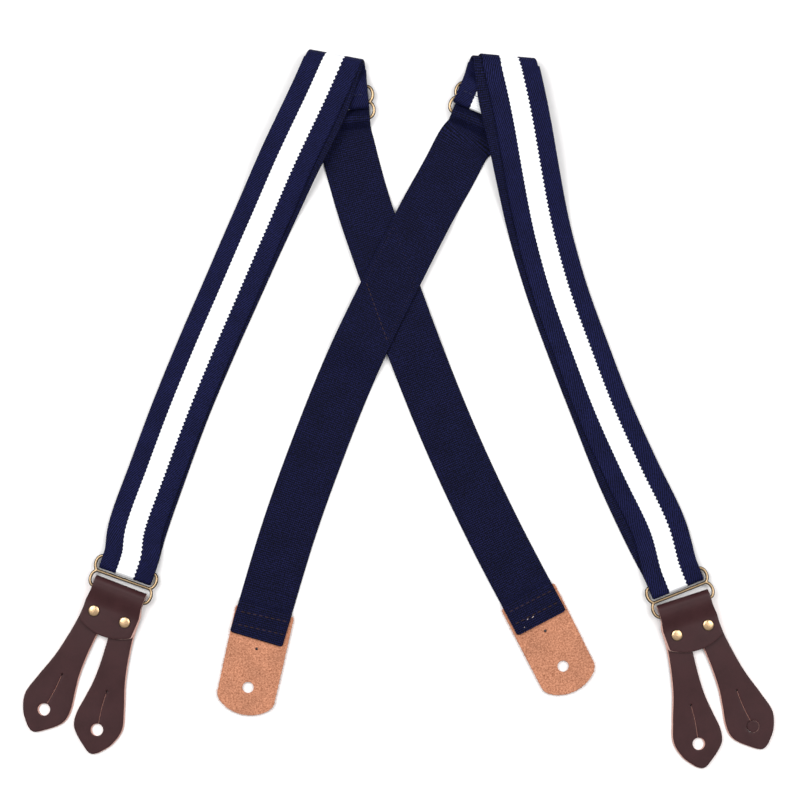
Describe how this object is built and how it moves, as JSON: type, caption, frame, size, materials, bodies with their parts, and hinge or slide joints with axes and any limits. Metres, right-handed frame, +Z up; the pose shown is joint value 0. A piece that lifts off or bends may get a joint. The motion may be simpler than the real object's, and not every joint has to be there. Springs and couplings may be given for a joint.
{
  "type": "suspenders",
  "caption": "Button-on dress suspenders: striped webbing straps crossed at the back, with brass rings and slides and leather button tabs, laid out folded at the shoulders.",
  "frame": {"origin": "centre of the underside of the leather patch where the two straps cross, on the plane the suspenders lie on", "axes": "+X to the right across the pair, +Y from the back tabs towards the shoulder folds, +Z up from the table"},
  "size_m": [0.4815, 0.4603, 0.0114],
  "materials": {
    "webbing_navy": "woven elastic webbing, navy with a white stripe on the face, plain navy inside",
    "leather_brown": "smooth dark brown grain leather, satin",
    "suede_tan": "tan flesh side of vegetable-tanned leather, matt",
    "brass_antique": "antiqued cast brass, satin with dark patina in its corners",
    "brass_rivet": "bright pale brass, polished",
    "thread_brown": "waxed brown sewing thread",
    "thread_navy": "navy sewing thread"
  },
  "bodies": {
    "back": {"cross_patch": "leather_brown", "cross_stitching": "thread_brown", "left_adjusting_stretch_top": "webbing_navy", "left_adjusting_stretch": "webbing_navy", "left_back_strap": "webbing_navy", "left_back_strap_flex": "webbing_navy", "left_shoulder_fold": "webbing_navy", "left_inner_shoulder_fold": "webbing_navy", "left_return_strap_end": "webbing_navy", "right_adjusting_stretch_top": "webbing_navy", "right_adjusting_stretch": "webbing_navy", "right_back_strap": "webbing_navy", "right_back_strap_flex": "webbing_navy", "right_shoulder_fold": "webbing_navy", "right_inner_shoulder_fold": "webbing_navy", "right_return_strap_end": "webbing_navy"},
    "left_slide_body": {"left_slide": "brass_antique", "left_strap_in_slide": "brass_antique", "left_sewn_loop": "webbing_navy", "left_slide_stitching": "thread_navy"},
    "left_front": {"left_front_strap": "webbing_navy", "left_strap_bight": "webbing_navy", "left_return_strap": "webbing_navy"},
    "left_ring": {"left_front_ring": "brass_antique"},
    "left_tab": {"left_front_tab": "leather_brown", "left_tab_left_rivet": "brass_rivet", "left_tab_left_rivet_back": "brass_rivet", "left_tab_right_rivet": "brass_rivet", "left_tab_right_rivet_back": "brass_rivet"},
    "left_back_tab_body": {"left_back_tab": "suede_tan", "left_back_strap_end": "webbing_navy", "left_back_tab_stitching_1": "thread_brown", "left_back_tab_stitching_2": "thread_brown"},
    "right_slide_body": {"right_slide": "brass_antique", "right_strap_in_slide": "brass_antique", "right_sewn_loop": "webbing_navy", "right_slide_stitching": "thread_navy"},
    "right_front": {"right_front_strap": "webbing_navy", "right_strap_bight": "webbing_navy", "right_return_strap": "webbing_navy"},
    "right_ring": {"right_front_ring": "brass_antique"},
    "right_tab": {"right_front_tab": "leather_brown", "right_tab_left_rivet": "brass_rivet", "right_tab_left_rivet_back": "brass_rivet", "right_tab_right_rivet": "brass_rivet", "right_tab_right_rivet_back": "brass_rivet", "right_tab_punched_disc": "leather_brown"},
    "right_back_tab_body": {"right_back_tab": "suede_tan", "right_back_strap_end": "webbing_navy", "right_back_tab_stitching_1": "thread_brown", "right_back_tab_stitching_2": "thread_brown"}
  },
  "joints": [
    {"name": "left_shoulder_unfold", "type": "hinge", "parent": "back", "child": "left_front", "pos_m": [-0.03408, 0.14728, 0.0057], "axis": [-0.9823, 0.1871, 0], "range_deg": [0, 170], "deforming": ["left_shoulder_fold", "left_inner_shoulder_fold"]},
    {"name": "left_slide_adjust", "type": "slide", "parent": "back", "child": "left_slide_body", "axis": [0.0906, -0.9959, 0], "range_m": [0, 0.03], "deforming": ["left_adjusting_stretch_top", "left_adjusting_stretch", "left_return_strap_end"]},
    {"name": "left_ring_swing", "type": "hinge", "parent": "left_front", "child": "left_ring", "pos_m": [-0.1676, -0.18, 0.0028], "axis": [-0.9421, 0.3355, 0], "range_deg": [-80, 80]},
    {"name": "left_tab_swing", "type": "hinge", "parent": "left_ring", "child": "left_tab", "pos_m": [-0.17428, -0.19875, 0.00475], "axis": [-0.9421, 0.3355, 0], "range_deg": [-100, 100]},
    {"name": "left_back_tab_flex", "type": "hinge", "parent": "back", "child": "left_back_tab_body", "pos_m": [0.08393, -0.19259, 0.00065], "axis": [-0.8862, -0.4632, 0], "range_deg": [-60, 60], "deforming": ["left_back_strap_flex"]},
    {"name": "right_shoulder_unfold", "type": "hinge", "parent": "back", "child": "right_front", "pos_m": [0.07464, 0.14638, 0.0057], "axis": [-0.9965, 0.0837, 0], "range_deg": [0, 170], "deforming": ["right_shoulder_fold", "right_inner_shoulder_fold"]},
    {"name": "right_slide_adjust", "type": "slide", "parent": "back", "child": "right_slide_body", "axis": [-0.3907, -0.9205, 0], "range_m": [0, 0.03], "deforming": ["right_adjusting_stretch_top", "right_adjusting_stretch", "right_return_strap_end"]},
    {"name": "right_ring_swing", "type": "hinge", "parent": "right_front", "child": "right_ring", "pos_m": [0.1815, -0.1885, 0.0028], "axis": [-0.9291, -0.3697, 0], "range_deg": [-80, 80]},
    {"name": "right_tab_swing", "type": "hinge", "parent": "right_ring", "child": "right_tab", "pos_m": [0.18886, -0.20699, 0.00475], "axis": [-0.9291, -0.3697, 0], "range_deg": [-100, 100]},
    {"name": "right_back_tab_flex", "type": "hinge", "parent": "back", "child": "right_back_tab_body", "pos_m": [-0.07807, -0.20088, 0.00065], "axis": [-0.958, 0.2868, 0], "range_deg": [-60, 60], "deforming": ["right_back_strap_flex"]}
  ]
}
